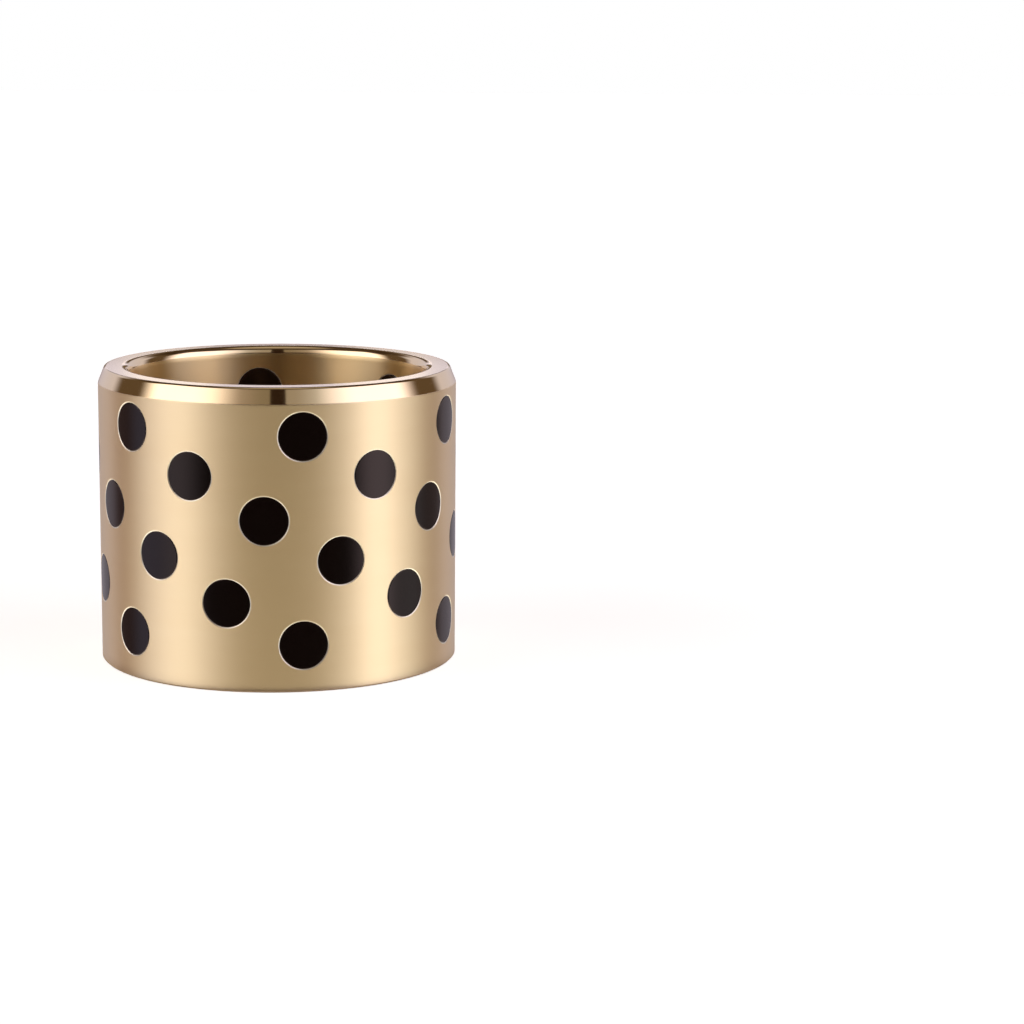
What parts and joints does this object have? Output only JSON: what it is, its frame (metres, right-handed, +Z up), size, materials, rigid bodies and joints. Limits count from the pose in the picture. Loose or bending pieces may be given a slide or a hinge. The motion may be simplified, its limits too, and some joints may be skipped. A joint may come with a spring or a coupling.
{
  "type": "graphite plugged bushing",
  "caption": "Plain cylindrical bronze sleeve bearing with round graphite plugs set flush through its wall in staggered rows, and a press-in lead at one end.",
  "frame": {"origin": "centre of the lower, plain end face, which the bushing stands on", "axes": "+Z up the bore axis towards the end with the press-in lead, -Y the front seen in the picture"},
  "size_m": [0.085, 0.085, 0.07],
  "materials": {
    "bronze": "fine turned, polished",
    "graphite": "satin"
  },
  "bodies": {
    "root": {"bronze_sleeve": "bronze", "graphite_plug_row1_1": "graphite", "graphite_plug_row1_2": "graphite", "graphite_plug_row1_3": "graphite", "graphite_plug_row1_4": "graphite", "graphite_plug_row1_5": "graphite", "graphite_plug_row1_6": "graphite", "graphite_plug_row2_1": "graphite", "graphite_plug_row2_2": "graphite", "graphite_plug_row2_3": "graphite", "graphite_plug_row2_4": "graphite", "graphite_plug_row2_5": "graphite", "graphite_plug_row2_6": "graphite", "graphite_plug_row3_1": "graphite", "graphite_plug_row3_2": "graphite", "graphite_plug_row3_3": "graphite", "graphite_plug_row3_4": "graphite", "graphite_plug_row3_5": "graphite", "graphite_plug_row3_6": "graphite", "graphite_plug_row4_1": "graphite", "graphite_plug_row4_2": "graphite", "graphite_plug_row4_3": "graphite", "graphite_plug_row4_4": "graphite", "graphite_plug_row4_5": "graphite", "graphite_plug_row4_6": "graphite", "graphite_plug_row5_1": "graphite", "graphite_plug_row5_2": "graphite", "graphite_plug_row5_3": "graphite", "graphite_plug_row5_4": "graphite", "graphite_plug_row5_5": "graphite", "graphite_plug_row5_6": "graphite", "graphite_plug_row6_1": "graphite", "graphite_plug_row6_2": "graphite", "graphite_plug_row6_3": "graphite", "graphite_plug_row6_4": "graphite", "graphite_plug_row6_5": "graphite", "graphite_plug_row6_6": "graphite"}
  },
  "joints": []
}
